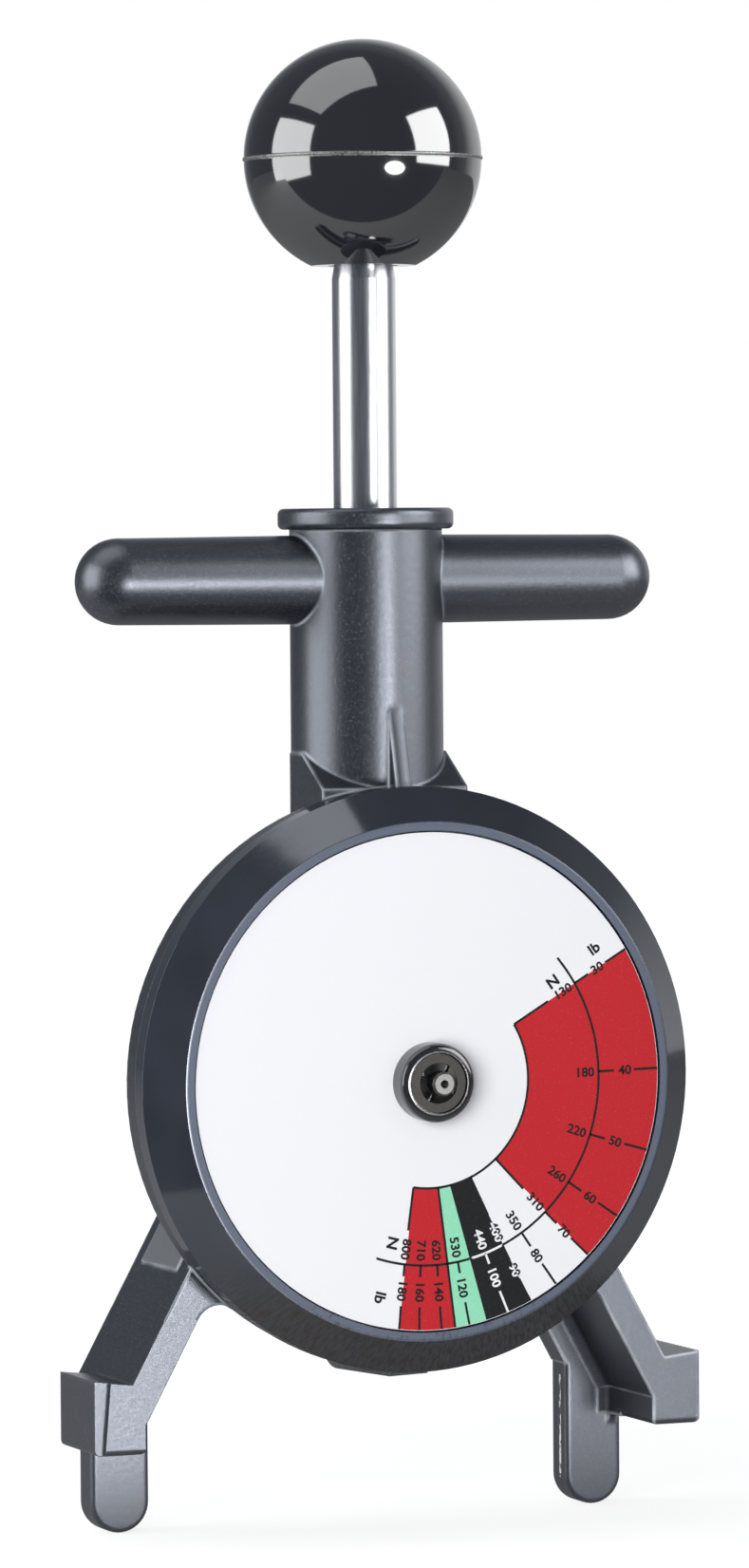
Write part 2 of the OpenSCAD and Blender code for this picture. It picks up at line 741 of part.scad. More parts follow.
// Ball with a flat underside and the line its mould left round the middle
module ball_knob() color("#15161a") translate([0, 0, knob_z]) rotate_extrude() difference() {
    union() {
        intersection() {
            circle(knob_r);
            translate([0, flat_z - knob_z]) square([knob_d, knob_d]);
        }
        translate([knob_r - sink, -flash_h / 2]) square([sink + flash_t, flash_h]);
    }
    translate([-eps, flat_z - knob_z - eps]) square([insert_d / 2 + seat_fit + eps, insert_l + 2 * eps]);
}

module knob_insert() color("#9aa0a6") translate([0, 0, flat_z]) difference() {
    cylinder(d = insert_d, h = insert_l);
    translate([0, 0, -eps]) cylinder(d = stud_d + 2 * seat_fit, h = stud_l + eps + stop_gap);
}

// Rod with stud, tapered neck, ring groove and lower spigot
module plunger_rod() color("#d5d8dc") difference() {
    rotate_extrude() polygon([
        [0, carrier_z + chamber_gap], [spigot_d / 2, carrier_z + chamber_gap],
        [spigot_d / 2, carrier_top_z], [rod_r, carrier_top_z],
        [rod_r, ring_z], [rod_r - groove, ring_z],
        [rod_r - groove, ring_z + ring_t], [rod_r, ring_z + ring_t],
        [rod_r, flat_z - neck_l], [neck_d / 2, flat_z],
        [stud_d / 2, flat_z], [stud_d / 2, flat_z + stud_l], [0, flat_z + stud_l]]);
    pin_through(seat_fit, -eps);
}

module retaining_ring() color("#6f747a") translate([0, 0, ring_z]) linear_extrude(ring_t) difference() {
    circle(d = ring_d);
    circle(rod_r - groove + seat_fit);
    translate([0, -rod_r / 2]) square([ring_d, rod_r]);
}

module spring_seat() color("#9aa0a6") translate([0, 0, seat_z]) difference() {
    cylinder(r = bore_r - chamber_gap, h = seat_t);
    translate([0, 0, -eps]) cylinder(r = rod_r + seat_fit, h = seat_t + 2 * eps);
}

// Block on the rod's end that carries hook and rack
module carrier() color("#878d94") difference() {
    translate([0, 0, carrier_z]) linear_extrude(carrier_h) {
        rotate(hook_turn) translate([-carrier_half, 0]) square([carrier_half * 2, hook_front]);
        translate([-carrier_half, -carrier_front]) square([carrier_half * 2, carrier_front + pin_d]);
        translate([-chamber_r, -carrier_front]) square([chamber_r, carrier_front]);
    }
    translate([0, 0, carrier_z - eps]) cylinder(d = spigot_d + 2 * seat_fit, h = carrier_h + 2 * eps);
    pin_through(seat_fit, -eps);
    for (z = screw_rows) {
        rotate([0, 0, hook_turn]) translate([0, hook_front + eps, z]) rotate([90, 0, 0])
            cylinder(d = screw_d + 2 * seat_fit, h = hook_front - spigot_d / 2 - stop_gap + eps);
        translate([-rack_screw_x, -carrier_front - eps, z]) rotate([-90, 0, 0])
            cylinder(d = small_screw_d + 2 * seat_fit, h = carrier_front - chamber_gap);
    }
}

// Cross pin place, widened by a clearance where it is a hole
module pin_through(clear, short) {
    translate([carrier_half, 0, carrier_z + carrier_h / 2]) rotate([0, -90, 0])
        translate([0, 0, short]) cylinder(d = pin_d + 2 * clear, h = carrier_half * 2 - sink - short);
}

module carrier_pin() color("#6f747a") pin_through(0, eps);

// Bent steel strip that catches the belt
module hook() color("#54585e") rotate([0, 0, hook_turn]) difference() {
    side_view(hook_w) {
        translate([hook_front, toe_z + hook_bend]) square([hook_t, carrier_top_z - toe_z - hook_bend]);
        translate([-toe_front, toe_z]) square([toe_front + hook_back - hook_bend, hook_t]);
        translate([hook_back - hook_bend, toe_z + hook_bend]) intersection() {
            difference() {
                circle(hook_bend);
                circle(hook_bend - hook_t);
            }
            translate([0, -hook_bend]) square(hook_bend);
        }
    }
    for (z = screw_rows)
        translate([0, hook_back, z]) rotate([90, 0, 0]) flush_screw(hook_t + eps, seat_fit);
}

module hook_screws() color("#7d8288") rotate([0, 0, hook_turn]) for (z = screw_rows)
    translate([0, hook_back, z]) rotate([90, 0, 0]) flush_screw(hook_back - spigot_d / 2 - chamber_gap, 0);

// Straight rack: one trapezoid per tooth, with a gap facing the pinion at rest
module rack() color("#a4a9ae") difference() {
    half = tooth_pitch / 4 - backlash / 4;
    count = floor((stroke + 2 * rack_over) / tooth_pitch) - 1;
    first = -floor(rack_over / tooth_pitch);
    front_view(carrier_front, carrier_front + rack_w) {
        translate([-chamber_r, rack_z]) square([chamber_r - rack_root_x, carrier_top_z - rack_z]);
        for (i = [first : first + count - 1])
            translate([-pitch_r, dial_z + (i + 0.5) * tooth_pitch]) polygon([
                [-tooth_root - eps, -half - tooth_root * tan(pressure)],
                [-tooth_root, -half - tooth_root * tan(pressure)],
                [rack_tip, -half + rack_tip * tan(pressure)],
                [rack_tip, half - rack_tip * tan(pressure)],
                [-tooth_root, half + tooth_root * tan(pressure)],
                [-tooth_root - eps, half + tooth_root * tan(pressure)]]);
    }
    for (z = screw_rows)
        translate([-rack_screw_x, -carrier_front + eps, z]) rotate([90, 0, 0])
            cylinder(d = small_screw_d + 2 * seat_fit, h = rack_w + 2 * eps);
}

module rack_screws() color("#7d8288") for (z = screw_rows)
    translate([-rack_screw_x, -carrier_front - rack_w, z]) rotate([-90, 0, 0])
        screw(small_screw_d, rack_w + carrier_front - 2 * chamber_gap, small_head_d, small_head_h);

// Involute flank: half the tooth's angle at radius r
function flank_angle(r) = let (base_r = pitch_r * cos(pressure), a = acos(min(1, base_r / r)))
    90 / pinion_teeth - backlash / (4 * pitch_r) * 180 / PI
    + (tan(pressure) - tan(a)) * 180 / PI - pressure + a;

// Spur pinion with true involute flanks
module pinion() color("#c2a15c") {
    base_r = pitch_r * cos(pressure);
    root_r = pitch_r - tooth_root;
    tip_r = pitch_r + tooth_m;
    flank = [for (i = [0 : 5]) base_r + (tip_r - base_r) * i / 5];
    radii = concat([root_r], flank);
    side = concat([flank_angle(base_r)], [for (r = flank) flank_angle(r)]);
    last = len(radii) - 1;
    translate([0, 0, dial_z]) front_view(pinion_back, pinion_front) difference() {
        polygon([for (t = [0 : pinion_teeth - 1]) for (k = [0 : 2 * last + 1])
            let (i = k <= last ? k : 2 * last + 1 - k,
                 turn = 360 * (t / pinion_teeth + 1 / 2) + (k <= last ? -1 : 1) * side[i])
            radii[i] * [cos(turn), sin(turn)]]);
        circle(shaft_r + seat_fit);
    }
}

// Shaft with a chamfered end and a centre drilling
module dial_shaft() color("#d5d8dc") dial_turned() polygon([
    [0, pinion_back], [shaft_r, pinion_back], [shaft_r, shaft_front - shaft_chamfer],
    [shaft_r - shaft_chamfer, shaft_front], [shaft_r / 3, shaft_front], [0, shaft_front - shaft_r / 2]]);

module dial_boss() color("#a4a9ae") dial_turned() difference() {
    union() {
        translate([0, boss_back]) square([boss_r, face_depth - boss_back]);
        translate([0, dial_back - boss_flange_t]) square([boss_flange_d / 2, boss_flange_t]);
    }
    translate([-eps, boss_back - eps]) square([shaft_r + seat_fit + eps, face_depth]);
}

// A disc on the dial boss, between two depths
module dial_sheet(from, to) {
    difference() {
        dial_disc(dial_d / 2, from, to);
        dial_disc(boss_r + seat_fit, from - eps, to + eps);
    }
}

module dial_plate() color("#c9ccd0") dial_sheet(dial_back, face_depth - face_t);

module dial_face() color("#f4f4f4") dial_sheet(face_depth - face_t, face_depth);

// Round-edged hub with a recess for the retainer
module dial_hub() color("#1a1b1f") dial_turned() difference() {
    translate([0, face_depth]) square([hub_d / 2, hub_h]);
    corner_waste([hub_d / 2, hub_front], [-1, -1], hub_round);
    translate([-eps, face_depth - eps]) square([shaft_r + seat_fit + eps, hub_h + 2 * eps]);
    translate([-eps, hub_front - recess]) square([retainer_d / 2 + seat_fit + eps, recess + eps]);
}

// Push-on retainer: a thin disc whose four prongs lean out against the shaft
module push_retainer() color("#3c4046") difference() {
    seat = hub_front - recess;
    prong_r = shaft_r + prong_l;
    dial_turned() polygon([
        [shaft_r + seat_fit, seat + retainer_t], [prong_r, seat],
        [retainer_d / 2, seat], [retainer_d / 2, seat + retainer_t],
        [prong_r, seat + retainer_t], [shaft_r + seat_fit, seat + retainer_t * 2]]);
    for (a = [30, 120, 210, 300])
        translate([0, -seat, dial_z]) rotate([90, a, 0])
            translate([0, -prong_slit / 2, -eps]) cube([prong_r, prong_slit, retainer_t * 3]);
}

body_frame();
tube_cap();
cap_bumper();
guide_bush();
load_spring();
hook_guide();
guide_screws();
bearing_plate();
plate_screws();
shaft_bush();
bezel();
bezel_screws();
ball_knob();
knob_insert();
plunger_rod();
retaining_ring();
spring_seat();
carrier();
carrier_pin();
hook();
hook_screws();
rack();
rack_screws();
pinion();
dial_shaft();
dial_boss();
dial_plate();
dial_face();
dial_hub();
push_retainer();
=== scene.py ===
"""Looks of a belt tension tester: moulded body, polished plunger and printed dial."""
import math

import bmesh
import bpy
from mathutils import Matrix, Vector


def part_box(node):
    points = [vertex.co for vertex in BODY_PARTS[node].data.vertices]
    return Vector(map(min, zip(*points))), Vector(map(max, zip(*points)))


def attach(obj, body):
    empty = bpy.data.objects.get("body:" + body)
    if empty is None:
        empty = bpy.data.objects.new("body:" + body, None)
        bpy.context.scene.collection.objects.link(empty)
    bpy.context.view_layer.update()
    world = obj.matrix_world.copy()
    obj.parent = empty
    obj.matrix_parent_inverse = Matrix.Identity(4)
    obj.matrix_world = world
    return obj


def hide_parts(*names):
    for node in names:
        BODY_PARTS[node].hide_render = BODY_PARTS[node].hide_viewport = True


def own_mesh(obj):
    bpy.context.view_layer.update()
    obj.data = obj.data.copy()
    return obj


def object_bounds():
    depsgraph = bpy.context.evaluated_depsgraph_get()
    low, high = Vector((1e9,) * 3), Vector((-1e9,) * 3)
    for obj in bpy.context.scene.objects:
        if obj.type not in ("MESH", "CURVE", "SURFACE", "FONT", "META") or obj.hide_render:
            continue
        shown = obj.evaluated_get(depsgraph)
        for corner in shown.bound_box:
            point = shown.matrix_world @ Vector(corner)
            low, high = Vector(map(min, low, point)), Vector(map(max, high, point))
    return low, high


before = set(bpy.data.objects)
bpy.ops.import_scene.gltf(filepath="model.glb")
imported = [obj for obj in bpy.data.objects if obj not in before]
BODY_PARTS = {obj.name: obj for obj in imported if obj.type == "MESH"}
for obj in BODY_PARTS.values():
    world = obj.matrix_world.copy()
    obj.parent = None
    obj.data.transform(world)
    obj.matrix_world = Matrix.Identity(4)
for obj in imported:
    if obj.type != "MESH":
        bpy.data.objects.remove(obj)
cad_box = [list(corner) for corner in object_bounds()]

MM = 0.001
UP = Vector((0, 0, 1))
face_low, face_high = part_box("dial_face")
DIAL_FRONT = face_low.y
DIAL_Z = (face_low.z + face_high.z) / 2
DIAL_R = (face_high.x - face_low.x) / 2 / MM
knob_low, knob_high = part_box("ball_knob")
KNOB_R = (knob_high.x - knob_low.x) / 2
KNOB_CENTRE = Vector((0, 0, knob_high.z - KNOB_R))

# The pad on the left leg, in millimetres: its lower corner, its length and width, and the
# heights above that corner between which its top lies. The leg leans at an angle to the table.
PAD_CORNER = Vector((-45.32, -10, 35.2))
PAD_L, PAD_W = 18, 20
PAD_TOP = (0.15, 0.45)
LEG_LEAN = math.radians(61.3)

# Upright boxes, by two corners in millimetres, round what the body's finish sets apart: the
# index rib's front, the flash on the right tongue with its painted highlight, the leg with the
# brightest painted edge highlights and the stepped foot
RIB_FRONT = ((-1.7, -40, 120), (1.7, -10, 165))
TONGUE_FLASH_GLINT = ((45.2, 9.6, -13), (45.4, 10.5, 8))
BRIGHT_EDGE_LEG = ((0, -60, -30), (80, 60, 50))
STEPPED_FOOT = ((-66, -60, -1), (-40, 60, 26))
# Half the width of the soft border of such a box, in millimetres
BORDER = 0.05

# Brown-grey streaks on the bezel: the radius they are laid out on, in millimetres, how much they
# are drawn out towards the middle, and the depths under the dial's centre over which they set in
STREAK_R = 53
STREAK_STRETCH = 0.4
STREAK_START, STREAK_FULL = -34, -44

# Camera: where the tester was seen from, worked out from its round and straight edges
VIEW_AZ, VIEW_EL, VIEW_ROLL = math.radians(-21.86), math.radians(1.99), math.radians(-0.46)
VIEW_AT = Vector((1.5, 0, 129.97)) * MM
VIEW_FAR = 1447.34 * MM
VIEW_LENS, VIEW_SENSOR = 165.87, 36

view_back = Vector((
    math.sin(VIEW_AZ) * math.cos(VIEW_EL),
    -math.cos(VIEW_AZ) * math.cos(VIEW_EL),
    math.sin(VIEW_EL)))
level_right = (-view_back).cross(UP).normalized()
level_up = level_right.cross(-view_back)
level_back = level_right.cross(UP)
view_right = level_right * math.cos(VIEW_ROLL) + level_up * math.sin(VIEW_ROLL)
view_up = level_up * math.cos(VIEW_ROLL) - level_right * math.sin(VIEW_ROLL)


def set_up_camera():
    lens = bpy.data.cameras.new("photo_camera")
    lens.lens = VIEW_LENS
    lens.sensor_width = VIEW_SENSOR
    lens.clip_end = 20
    camera = bpy.data.objects.new("photo_camera", lens)
    turn = Matrix((view_right, view_up, view_back)).transposed().to_4x4()
    camera.matrix_world = Matrix.Translation(VIEW_AT + view_back * VIEW_FAR) @ turn
    bpy.context.scene.collection.objects.link(camera)
    bpy.context.scene.camera = camera


def linear(code):
    """An sRGB hex colour as linear RGBA."""
    parts = [int(code[i:i + 2], 16) / 255 for i in (1, 3, 5)]
    return [p / 12.92 if p <= 0.04045 else ((p + 0.055) / 1.055) ** 2.4 for p in parts] + [1.0]


def add(tree, kind, inputs=(), **settings):
    """Adds a node: settings go on the node, inputs are values or sockets to link."""
    made = tree.nodes.new(kind)
    for key, value in settings.items():
        setattr(made, key, value)
    for name, value in dict(inputs).items():
        if isinstance(value, bpy.types.NodeSocket):
            tree.links.new(value, made.inputs[name])
        else:
            made.inputs[name].default_value = value
    return made


def maths(tree, operation, *values):
    """The result of a sum on values or sockets."""
    return add(tree, "ShaderNodeMath", enumerate(values), operation=operation).outputs["Value"]


def dot(tree, one, other):
    """How far one vector reaches along another."""
    return add(tree, "ShaderNodeVectorMath", {0: one, 1: other}, operation="DOT_PRODUCT").outputs["Value"]


def blend(tree, share, under, over):
    """One colour laid over another, by a share from 0 to 1."""
    return add(tree, "ShaderNodeMix", {"Factor": share, 6: under, 7: over}, data_type="RGBA").outputs[2]


def here(tree):
    """The place on the piece, in metres."""
    return add(tree, "ShaderNodeTexCoord").outputs["Object"]


def blank(name):
    """A material with an empty node tree."""
    finish = bpy.data.materials.new(name)
    finish.use_nodes = True
    finish.node_tree.nodes.clear()
    return finish, finish.node_tree


def new_finish(name, **sockets):
    """A material with one Principled shader, and that shader's constant values."""
    finish, tree = blank(name)
    values = {key.replace("_", " "): value for key, value in sockets.items()}
    shader = add(tree, "ShaderNodeBsdfPrincipled", values)
    add(tree, "ShaderNodeOutputMaterial", {"Surface": shader.outputs["BSDF"]})
    return finish, tree, shader


def noise(tree, place, size_mm, detail):
    """Noise whose blotches are about size_mm across."""
    return add(tree, "ShaderNodeTexNoise", {
        "Vector": place, "Scale": 1 / (size_mm * MM), "Detail": detail}).outputs["Fac"]


def grain(tree, size_mm, detail=2, stretch=(1, 1, 1)):
    """Noise on the piece, with blotches that are longer where stretch is over 1."""
    shrink = [1 / s for s in stretch]
    place = add(tree, "ShaderNodeVectorMath", {0: here(tree), 1: shrink}, operation="MULTIPLY")
    return noise(tree, place.outputs["Vector"], size_mm, detail)


def ramp(tree, source, stops):
    """Colours along a 0 to 1 value, as (place, hex) stops."""
    made = add(tree, "ShaderNodeValToRGB", {"Fac": source})
    points = made.color_ramp.elements
    while len(points) < len(stops):
        points.new(0.5)
    for point, (place, code) in zip(points, stops):
        point.position = place
        point.color = linear(code)
    return made.outputs["Color"]


def span(tree, source, low, high, to_low, to_high):
    """Maps a value from one range to another, clamped."""
    return add(tree, "ShaderNodeMapRange", {
        "Value": source, "From Min": low, "From Max": high,
        "To Min": to_low, "To Max": to_high}).outputs["Result"]


def rounded(tree, radius):
    """The way the surface faces, with its edges rounded by a radius in metres."""
    return add(tree, "ShaderNodeBevel", {"Radius": radius}, samples=8).outputs["Normal"]


def relief(tree, shader, source, height_mm, strength, edge=None):
    """Bump of a real height, over edges that are seen rounded by a radius in metres."""
    inputs = {"Height": source, "Distance": height_mm * MM, "Strength": strength}
    if edge is not None:
        inputs["Normal"] = rounded(tree, edge)
    bump = add(tree, "ShaderNodeBump", inputs)
    tree.links.new(bump.outputs["Normal"], shader.inputs["Normal"])


def between(tree, way, low, high):
    """1 where the distance along a direction, in millimetres, lies between two values."""
    reach = dot(tree, here(tree), [part / MM for part in way])
    above = span(tree, reach, low - BORDER, low + BORDER, 0, 1)
    below = span(tree, reach, high - BORDER, high + BORDER, 1, 0)
    return maths(tree, "MULTIPLY", above, below)


def inside(tree, limits):
    """1 where the distances along several directions all lie between their two values."""
    whole, *others = [between(tree, *limit) for limit in limits]
    for other in others:
        whole = maths(tree, "MULTIPLY", whole, other)
    return whole


def within(tree, corners):
    """1 inside an upright box, given by two corners in millimetres."""
    return inside(tree, zip(((1, 0, 0), (0, 1, 0), (0, 0, 1)), *corners))


def on_pad(tree):
    """1 on the raised pad at the left leg's outer side."""
    out = Vector((-math.sin(LEG_LEAN), 0, math.cos(LEG_LEAN)))
    along = Vector((math.cos(LEG_LEAN), 0, math.sin(LEG_LEAN)))
    limits = []
    for way, low, high in ((out, *PAD_TOP), (along, 0, PAD_L), (Vector((0, 1, 0)), 0, PAD_W)):
        start = PAD_CORNER.dot(way)
        limits.append((way, start + low, start + high))
    return inside(tree, limits)


# Edge mask for the painted edge highlights of the body's finish
def rubbed(tree, reach_mm):
    """1 at edges, where the surface turns within reach_mm, and 0 on flats."""
    flat = add(tree, "ShaderNodeNewGeometry").outputs["Normal"]
    return span(tree, dot(tree, rounded(tree, reach_mm * MM), flat), 0.995, 0.94, 0, 1)


def moulded_nylon():
    # Glass-filled nylon from a spark-eroded mould: satin black with a cold sheen. Its
    # fibres show as pale flecks, drawn at 0.4 mm because real ones are too fine to see.
    finish, tree, shader = new_finish(
        "glass_filled_nylon_satin_moulded", IOR=1.8, Specular_IOR_Level=1.0,
        Specular_Tint=linear("#e8eefc"))
    cloud = grain(tree, 9, detail=3)
    fleck = grain(tree, 0.4, detail=4)
    tint = ramp(tree, cloud, [(0.3, "#0b0c0e"), (0.7, "#111215")])
    tint = blend(tree, span(tree, fleck, 0.55, 0.7, 0, 0.8), tint, linear("#42464e"))
    # The pad was left rough in the mould, so it scatters more light
    tint = blend(tree, on_pad(tree), tint, linear("#5c5e60"))
    # Painted highlights: edges are lightened into thin pale lines for the light their rounding
    # catches, palest on the right leg and hardly at all on the stepped foot
    edge_highlight_tint = blend(tree, within(tree, BRIGHT_EDGE_LEG), linear("#a0a6b0"), linear("#d0d4da"))
    stepped = within(tree, STEPPED_FOOT)
    most = span(tree, stepped, 0, 1, 0.9, 0.1)
    share = maths(tree, "MULTIPLY", span(tree, cloud, 0.35, 0.6, 0.33, 1), most)
    edge_highlight = maths(tree, "MULTIPLY", rubbed(tree, 1.2), share)
    tint = blend(tree, edge_highlight, tint, edge_highlight_tint)
    # Torn flash along the mould's parting on the right tongue's inner side, painted white as its
    # highlight
    torn = span(tree, grain(tree, 0.8, detail=3, stretch=(1, 1, 2)), 0.47, 0.53, 0, 1)
    flash_glint = maths(tree, "MULTIPLY", within(tree, TONGUE_FLASH_GLINT), torn)
    tint = blend(tree, flash_glint, tint, linear("#f0f0ee"))
    tree.links.new(tint, shader.inputs["Base Color"])
    tree.links.new(span(tree, fleck, 0.3, 0.7, 0.32, 0.4), shader.inputs["Roughness"])
    # The index rib is seen half round, the stepped foot crisp, other edges broken by 0.9 mm
    edge = span(tree, within(tree, RIB_FRONT), 0, 1, 0.9 * MM, 2.2 * MM)
    edge = maths(tree, "MULTIPLY", edge, span(tree, stepped, 0, 1, 1, 0.25))
    # Leathery waves where the thick walls shrank, about 1.2 mm across
    relief(tree, shader, grain(tree, 1.2, detail=4), 0.05, 0.5, edge)
    return finish


def moulded_abs():
    # ABS from a polished mould: dark blue-black, clearer reflections than the body, with
    # the slow waves that a thick ring shows where it cooled.
    finish, tree, shader = new_finish("abs_smooth_moulded", IOR=1.75, Specular_Tint=linear("#eef2fc"))
    wave = grain(tree, 14, detail=1)
    pore = grain(tree, 0.5, detail=3)
    tint = ramp(tree, wave, [(0.3, "#20232a"), (0.7, "#282b33")])
    # The lower part of the ring is drawn with brown-grey streaks towards the middle
    part = add(tree, "ShaderNodeSeparateXYZ", {"Vector": here(tree)}).outputs
    drop = maths(tree, "SUBTRACT", part["Z"], DIAL_Z)
    around = maths(tree, "MULTIPLY", maths(tree, "ARCTAN2", drop, part["X"]), STREAK_R * MM)
    inwards = maths(tree, "MULTIPLY", drop, STREAK_STRETCH)
    polar = add(tree, "ShaderNodeCombineXYZ", {"X": around, "Y": inwards}).outputs["Vector"]
    streak = span(tree, noise(tree, polar, 0.7, 3), 0.35, 0.65, 0.35, 1)
    low = span(tree, drop, STREAK_FULL * MM, STREAK_START * MM, 1, 0)
    streaked = maths(tree, "MULTIPLY", low, streak)
    tint = blend(tree, streaked, tint, linear("#393632"))
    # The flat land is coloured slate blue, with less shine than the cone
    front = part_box("bezel")[0].y / MM
    land = between(tree, (0, 1, 0), front - 1, front + 0.03)
    tint = blend(tree, land, tint, linear("#3c4a61"))
    tree.links.new(tint, shader.inputs["Base Color"])
    dull = maths(tree, "MAXIMUM", land, streaked)
    smooth = span(tree, pore, 0.3, 0.7, 0.07, 0.11)
    tree.links.new(maths(tree, "MULTIPLY_ADD", dull, 0.45, smooth), shader.inputs["Roughness"])
    tree.links.new(span(tree, dull, 0, 1, 1.0, 0.2), shader.inputs["Specular IOR Level"])
    relief(tree, shader, pore, 0.004, 0.2, 0.06 * MM)
    return finish


def polished_phenolic():
    # Phenolic resin, compression moulded and buffed: deep gloss black, a little orange peel,
    # and a dull, torn line where the two halves of the mould met.
    finish, tree, shader = new_finish("phenolic_buffed", IOR=1.9, Specular_IOR_Level=1.0)
    height = add(tree, "ShaderNodeSeparateXYZ", {"Vector": here(tree)}).outputs["Z"]
    off = maths(tree, "ABSOLUTE", maths(tree, "SUBTRACT", height, KNOB_CENTRE.z))
    line = span(tree, off, 0.25 * MM, 0.5 * MM, 1, 0)
    torn = span(tree, grain(tree, 0.5, detail=4), 0.35, 0.6, 0.3, 1)
    ragged = maths(tree, "MULTIPLY", line, torn)
    tint = blend(tree, ragged, linear("#131419"), linear("#6a6a66"))
    tree.links.new(tint, shader.inputs["Base Color"])
    tree.links.new(span(tree, ragged, 0, 1, 0.07, 0.6), shader.inputs["Roughness"])
    relief(tree, shader, grain(tree, 5, detail=1), 0.02, 0.15, 0.3 * MM)
    return finish


def moulded_hub_black():
    # The same resin as the knob, left as moulded: black, not quite as glossy.
    finish, tree, shader = new_finish("phenolic_as_moulded", IOR=1.6, Specular_IOR_Level=1.0)
    pore = grain(tree, 0.4, detail=3)
    tree.links.new(ramp(tree, pore, [(0.3, "#17181c"), (0.8, "#202126")]), shader.inputs["Base Color"])
    tree.links.new(span(tree, pore, 0.3, 0.7, 0.12, 0.18), shader.inputs["Roughness"])
    relief(tree, shader, pore, 0.002, 0.3, 0.2 * MM)
    return finish


def metal(name, dark, light, rough, size_mm, stretch=(1, 1, 1), height_mm=0.004, edge_mm=0.2,
          spread=0.0):
    """A bare metal with tool marks: blotches of size_mm, drawn out along the tool's path.
    Spread smears reflections along Z, across marks that run round the bar."""
    finish, tree, shader = new_finish(name, Metallic=1.0)
    mark = grain(tree, size_mm, detail=3, stretch=stretch)
    tree.links.new(ramp(tree, mark, [(0.3, dark), (0.7, light)]), shader.inputs["Base Color"])
    tree.links.new(span(tree, mark, 0.3, 0.7, rough * 0.8, rough * 1.2), shader.inputs["Roughness"])
    relief(tree, shader, mark, height_mm, 0.3, edge_mm * MM)
    if spread:
        shader.inputs["Anisotropic"].default_value = spread
        shader.inputs["Anisotropic Rotation"].default_value = 0.25
        ring = add(tree, "ShaderNodeTangent", direction_type="RADIAL", axis="Z")
        tree.links.new(ring.outputs["Tangent"], shader.inputs["Tangent"])
    return finish


def black_oxide():
    # Strip steel, sheared, bent and blackened in hot salts: dull grey-black with a thin oily sheen.
    finish, tree, shader = new_finish("black_oxide_steel", Metallic=0.3)
    mark = grain(tree, 0.8, detail=4)
    tree.links.new(ramp(tree, mark, [(0.3, "#55585a"), (0.7, "#6c7072")]), shader.inputs["Base Color"])
    tree.links.new(span(tree, mark, 0.3, 0.7, 0.34, 0.5), shader.inputs["Roughness"])
    relief(tree, shader, mark, 0.01, 0.4, 0.3 * MM)
    return finish


def moulded_rubber():
    # Nitrile rubber, moulded: matt and almost black, with a chalky bloom.
    finish, tree, shader = new_finish("nitrile_rubber_moulded", IOR=1.5)
    bloom = grain(tree, 1.2, detail=4)
    tree.links.new(ramp(tree, bloom, [(0.35, "#232323"), (0.75, "#35342f")]), shader.inputs["Base Color"])
    tree.links.new(span(tree, bloom, 0.3, 0.7, 0.65, 0.85), shader.inputs["Roughness"])
    relief(tree, shader, bloom, 0.03, 0.4)
    return finish


def printed(name, ground, fleck, share, rough=0.6):
    """Screen ink on vinyl sheet: flat colour broken by pinholes that show a paler fleck.
    The pinholes are drawn 0.3 mm wide so that they show."""
    finish, tree, shader = new_finish(name, IOR=1.45, Specular_IOR_Level=0.2)
    hole = grain(tree, 0.3, detail=2)
    tint = ramp(tree, hole, [(0.72 - share, ground), (0.82 - share / 2, fleck)])
    tree.links.new(tint, shader.inputs["Base Color"])
    tree.links.new(span(tree, hole, 0.3, 0.7, rough - 0.05, rough + 0.05), shader.inputs["Roughness"])
    relief(tree, shader, hole, 0.003, 0.3)
    return finish


